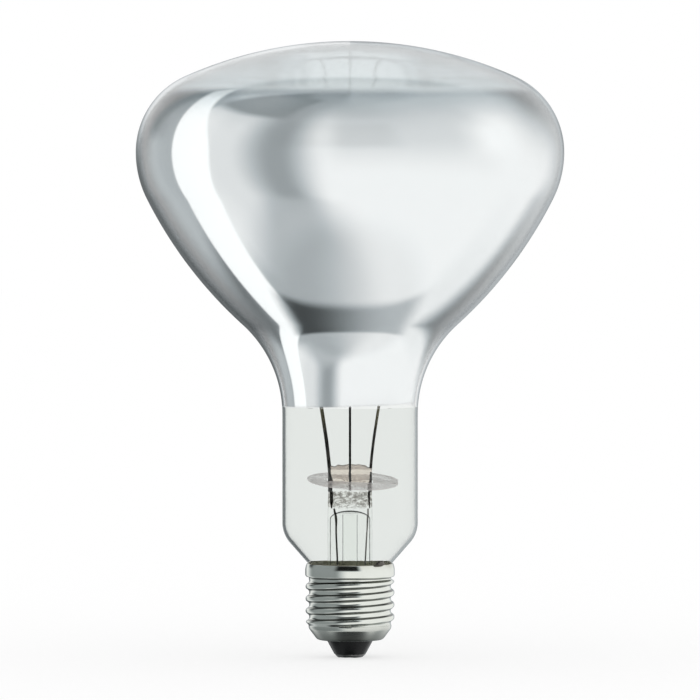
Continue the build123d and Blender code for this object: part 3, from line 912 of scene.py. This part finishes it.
# wires: points of each line and radius in mm, and one lump: its height, its size and its width
wires = dict(
    passes=3,  # of the running mean
    spread=1.6,  # half the length that it takes in
    step=0.25,
    sides=14,
    lines={
        "lead_left": dict(
            node="inner_lead_left", finish="dark", radius=0.56, lump=(52.3, 0.3, 0.9),
            points=[
                (-5.55, 0, 49.6), (-5.85, 0, 53.3), (-6.3, 0, 58.5), (-7.0, 0, 64.6), (-8.6, 0, 75.0),
                (-14.5, 0, 103.9), (-14.5, 3.8, 104.0),
            ],
        ),
        "lead_right": dict(
            node="inner_lead_right", finish="dark", radius=0.42, lump=(50.2, 0.2, 0.8),
            points=[
                (5.6, 0, 49.6), (5.95, 0, 53.3), (6.3, 0, 58.5), (7.0, 0, 64.6), (8.6, 0, 75.0),
                (14.5, 0, 103.9), (14.5, 3.8, 104.0),
            ],
        ),
        "seal_left": dict(
            node="seal_wire_left", finish="dark", radius=0.5, lump=(44.4, -0.3, 1.2),
            points=[(-5.3, 0, 44.3), (-5.45, 0, 46.5), (-5.55, 0, 49.6)],
        ),
        "seal_right": dict(
            node="seal_wire_right", finish="dark", radius=0.34, lump=(44.4, -0.2, 2.0),
            points=[(5.65, 0, 44.3), (5.6, 0, 46.5), (5.6, 0, 49.6)],
        ),
        "feed_left": dict(
            node="outer_lead_left", finish="worn", radius=0.27, lump=(41.3, 0.12, 1.6),
            points=[
                (-4.6, 0, 44.2), (-4.2, 0, 42.4), (-3.9, 0, 40.9), (-4.2, 0, 38.9), (-4.05, 0, 35.0),
                (-3.7, 0, 28.4), (-3.9, 0, 14.6), (0, 0, 11.4), (0, 0, 0.5),
            ],
        ),
        "feed_right": dict(
            node="outer_lead_right", finish="pale", radius=0.22, lump=(41.0, 0.06, 1.6),
            points=[
                (5.2, 0, 44.2), (5.25, 0, 40.9), (4.9, 0, 35.0), (4.5, 0, 28.4), (4.3, 0, 14.0),
                (7.7, -8.55, 13.8), (7.7, -8.55, 25.2), (8.5, -9.44, 26.6), (8.5, -9.44, 27.8),
            ],
        ),
    },
)


def makeWire(name, bright, dark, warm=None):
    look, f = newFinish(name)
    place = f.place()
    cloud = f.noise(f.stretch(place, (1, 1, 0.35)), 500.0, 4.0, 0.6)
    metal = f.blend(cloud.step(0.35, 0.75), dark, bright)
    if warm:  # painted highlight: an olive colour, and the heights in mm between which it comes in
        colour, heights = warm
        share = f.axes(place)[2].step(*inMetres(heights)) * (0.2 + cloud * 0.5)
        metal = f.blend(share, metal, colour)
    f.surface({
        "Base Color": metal,
        "Metallic": 0.55,
        "Specular IOR Level": 0.15,
        "Roughness": 0.38 + cloud * 0.25,
        "Normal": f.bump(cloud, 0.15, 0.0001),
    })
    return look


# a round wire along a line of points, smoothed by a running mean; its radius swells or thins at one height
def makeWirePiece(name, line, look):
    w = wires
    points = np.array(line["points"], float)
    length = np.concatenate([[0], np.cumsum(np.linalg.norm(np.diff(points, axis=0), axis=1))])
    along = np.linspace(0, length[-1], int(length[-1] / w["step"]))
    path = np.stack([np.interp(along, length, points[:, i]) for i in range(3)], -1)
    reach = int(w["spread"] / w["step"])
    window = 2 * reach + 1
    for _ in range(w["passes"]):  # the ends are held by mirroring the line at them
        before = 2 * path[:1] - path[reach:0:-1]
        after = 2 * path[-1:] - path[-2:-reach - 2:-1]
        total = np.cumsum(np.concatenate([np.zeros((1, 3)), before, path, after]), axis=0)
        path = (total[window:] - total[:-window]) / window
    ahead = np.gradient(path, axis=0)
    ahead /= np.linalg.norm(ahead, axis=1, keepdims=True)
    # a direction that the wire never follows
    aside = np.array([1.0, 0, 0]) if "lead" in name else np.array([0, 1.0, 0])
    side = np.cross(ahead, aside)
    side /= np.linalg.norm(side, axis=1, keepdims=True)
    at, size, width = line["lump"]
    radius = (line["radius"] + size * np.exp(-(((path[:, 2] - at) / width) ** 2)))[:, None, None]
    grid = wireGrid(path, side, np.cross(ahead, side), radius, w["sides"])
    gridPiece(name, grid, look, [line["node"]])


wireLooks = dict(
    # the dark leads get a painted olive highlight from 66 to 73 mm up
    dark=makeWire("darkWire", (0.07, 0.066, 0.06), (0.02, 0.019, 0.018), ((0.27, 0.25, 0.16), (66.0, 73.0))),
    worn=makeWire("wornWire", (0.11, 0.105, 0.095), (0.035, 0.034, 0.03)),
    pale=makeWire("paleWire", (0.36, 0.35, 0.335), (0.17, 0.165, 0.155)),
    black=makeWire("blackWire", (0.012, 0.012, 0.012), (0.004, 0.004, 0.004)),
)
for name, line in wires["lines"].items():
    makeWirePiece(name, line, wireLooks[line["finish"]])
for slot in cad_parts["centre_support"].material_slots:  # its solid is kept
    slot.material = wireLooks["black"]
print("wires ready")

# floor, world and camera
studio = dict(
    plain=1.0,  # what lights dull surfaces and shows through clear glass
    # soft boxes and flags, in order: level, azimuth from, to and softness, elevation from, to and softness
    mirrorBase=1.05,
    mirrorBoxes=[
        (0.78, -11, 89, 10, -1, 52, 25),
        (0.92, -89, -38, 13, -68, 59, 5),
        (0.40, -57, -25, 14, -62, 85, 14),
        (0.55, -200, -110, 4, -79, 54, 4),
        (0.03, -200, -141, 11, -60, 66, 9),
        (0.10, 126, 180, 30, 9, 43, 22),
        (0.03, 151, 200, 21, -54, 51, 3),
        (0.50, -200, 200, 5, 52, 120, 30),
        (0.64, -5, 200, 20, 52, 120, 30),
        (0.35, -112, -44, 6, 46, 78, 4),
        (0.14, -200, -118, 7, -74, -36, 6),
        (0.12, 140, 200, 10, -62, -18, 10),
        (1.14, 75, 96, 16, -3, 32, 13),
        (0.03, -200, -176, 4, -60, 60, 8),
        (0.03, 176, 200, 4, -60, 60, 8),
    ],
    coatBase=0.92,
    coatBoxes=[
        (0.30, -130, -22, 18, -50, 52, 10),
        (0.15, -200, -153, 11, -75, 4, 8),
        (0.45, 158, 200, 10, -75, 12, 12),
        (0.40, -200, -97, 6, -110, -34, 8),
        (0.40, 110, 200, 10, -110, -36, 16),
        (0.04, -200, 200, 5, 72, 120, 6),
        (0.04, -200, 200, 5, -120, -61, 6),
        (0.04, -200, -140, 12, 52, 120, 6),
        (0.04, 140, 200, 12, 52, 120, 6),
        (0.04, -200, -140, 12, -120, -52, 6),
        (0.04, 140, 200, 12, -120, -52, 6),
        (0.010, -39, 26, 9, 9, 42, 5),
        (0.03, -62, 30, 28, 45, 90, 10),
        (0.05, -141, -119, 8, 9, 80, 6),
    ],
    # the strip light lies between two ellipses of directions
    strip=dict(
        level=1.3, azimuth=-150.5, inner=(37.8, 43.7, 50.3), outer=(68.1, 51.2, 69.7), soft=0.02,
        left=-142, leftSoft=2,
    ),
    # towards the floor on the left the mirror shows a grey zone, by the direction's x and -z
    ground=dict(level=0.52, across=(-0.35, 0.42), left=(-0.72, -0.5), lean=0.3, down=(0.80, 0.97)),
    # under the lamp and away from the camera it is dark, by the direction's y and -z
    band=dict(dark=0.08, pale=0.62, across=(-0.35, 0.4), back=(-0.05, 0.03), bow=0.9, down=(0.80, 0.90)),
    # light that a level stands for: the greys are a little blue
    tones=[
        (0.0, (0.0, 0.0, 0.0)),
        (0.3, (0.275, 0.30, 0.31)),
        (0.6, (0.575, 0.605, 0.625)),
        (1.0, (1.0, 1.0, 1.0)),
    ],
    glassFaces=2.5,  # a ray that has passed more faces of glass than this looks at the mirror film
)


# what covers a level by its share: the level plus the difference times the mask
def cover(level, value, mask):
    return level + (value - level) * mask


# level of light by direction: each box replaces what is under it by its share
def makePanels(azimuth, elevation, base, boxes):
    level = azimuth * 0.0 + base
    for value, left, right, turn, low, high, lift in boxes:
        mask = azimuth.step(left - turn, left + turn) * (1 - azimuth.step(right - turn, right + turn))
        mask = mask * elevation.step(low - lift, low + lift) * (1 - elevation.step(high - lift, high + lift))
        level = cover(level, value, mask)
    return level


# outside the inner ellipse, inside the outer one and right of an edge; above and below have their own half height
def addStrip(azimuth, elevation, level):
    s = studio["strip"]
    rings = []
    for wide, above, below in (s["inner"], s["outer"]):
        rise = elevation.math("MAXIMUM", 0.0) / above - elevation.math("MINIMUM", 0.0) / below
        rings.append((((azimuth - s["azimuth"]) / wide) ** 2 + rise**2).math("SQRT"))
    mask = rings[0].step(1 - s["soft"], 1 + s["soft"]) * (1 - rings[1].step(1 - s["soft"], 1 + s["soft"]))
    mask = mask * azimuth.step(s["left"] - s["leftSoft"], s["left"] + s["leftSoft"])
    return cover(level, s["level"], mask)


def addGround(x, z, level):
    g = studio["ground"]
    mask = x.step(*g["left"]) * (1 - x.step(*g["across"])) * (z * -1.0 - x * g["lean"]).step(*g["down"])
    return cover(level, g["level"], mask)


def addBand(x, y, z, level):
    b = studio["band"]
    tone = b["dark"] + x.step(*b["across"]) * (b["pale"] - b["dark"])
    mask = (y - x * x * b["bow"]).step(*b["back"]) * (z * -1.0).step(*b["down"])
    return cover(level, tone, mask)


# a level up to 1 sets the colour, and what is over 1 sets the strength
def makeGlow(f, level):
    colour = f.ramp(level.clip(), studio["tones"])
    return f.add("ShaderNodeBackground", {}, {"Color": colour, "Strength": level.math("MAXIMUM", 1.0)})


def makeWorld():
    world = bpy.data.worlds.new("studioWorld")
    bpy.context.scene.world = world
    f = Finish(world)
    x, y, z = f.axes(f.add("ShaderNodeTexCoord", {}, {}, "Generated"))
    degree = float(180 / np.pi)
    azimuth = x.math("ARCTAN2", y * -1.0) * degree
    elevation = z.math("ARCSINE") * degree
    mirror = makePanels(azimuth, elevation, studio["mirrorBase"], studio["mirrorBoxes"])
    mirror = addStrip(azimuth, elevation, addGround(x, z, mirror))
    mirror = makeGlow(f, addBand(x, y, z, mirror))
    coat = makeGlow(f, makePanels(azimuth, elevation, studio["coatBase"], studio["coatBoxes"]))
    plain = f.add("ShaderNodeBackground", {}, {"Color": (1, 1, 1, 1), "Strength": studio["plain"]})
    reflected = f.add("ShaderNodeLightPath", {}, {}, "Glossy Depth").math("GREATER_THAN", 0.5)
    passed = f.add("ShaderNodeLightPath", {}, {}, "Transmission Depth")
    behindGlass = passed.math("GREATER_THAN", studio["glassFaces"])
    shown = f.add("ShaderNodeMixShader", {}, {0: behindGlass, 1: coat, 2: mirror})
    light = f.add("ShaderNodeMixShader", {}, {0: reflected, 1: plain, 2: shown})
    f.add("ShaderNodeOutputWorld", {}, {"Surface": light})


# floor: rings of these radii in mm, grey to light and paler to the camera
disc = dict(rings=(4000.0, 800.0, 100.0, 0.0), around=96, grey=(0.34, 0.34, 0.34, 1), glow=0.66)


def makeFloor():
    look, f = newFinish("paleFloor")
    rays = f.add("ShaderNodeLightPath", {}, {}, "Is Camera Ray")
    dullShadedEnd = f.add("ShaderNodeBsdfDiffuse", {}, {"Color": disc["grey"]})
    glow = f.add("ShaderNodeEmission", {}, {"Color": (1, 1, 1, 1), "Strength": rays * disc["glow"]})
    f.add("ShaderNodeOutputMaterial", {}, {"Surface": f.add("ShaderNodeAddShader", {}, {0: dullShadedEnd, 1: glow})})
    grid = turned(disc["rings"], np.zeros(len(disc["rings"])), around(disc["around"]))
    quads = gridQuads(*grid.shape[:2])
    mesh = bpy.data.meshes.new("floor")
    mesh.from_pydata((grid * mm).reshape(-1, 3).tolist(), [], quads.tolist())
    mesh.materials.append(look)
    floor = bpy.data.objects.new("floor", mesh)
    bpy.context.scene.collection.objects.link(floor)
    floor.visible_glossy = False
    floor.visible_transmission = False


view = dict(place=(0.0, -2.3, 0.171), aim=(0.0, 0.0, 0.0913), width=0.2077, sensor=36.0)


def makeCamera():
    place, aim = np.array(view["place"]), np.array(view["aim"])
    reach = aim - place
    distance = float(np.linalg.norm(reach))
    data = bpy.data.cameras.new("camera")
    data.sensor_width = view["sensor"]
    data.lens = view["sensor"] * distance / view["width"]
    camera = bpy.data.objects.new("camera", data)
    camera.location = place
    camera.rotation_euler = (np.pi / 2 + np.arctan2(reach[2], -place[1]), 0, 0)
    bpy.context.scene.collection.objects.link(camera)
    bpy.context.scene.camera = camera


makeWorld()
makeFloor()
makeCamera()
scene = bpy.context.scene
scene.view_settings.view_transform = "Standard"
scene.cycles.max_bounces = 32
scene.cycles.transmission_bounces = 32
scene.cycles.glossy_bounces = 16
scene.cycles.transparent_max_bounces = 32
print("stage, world and camera ready")
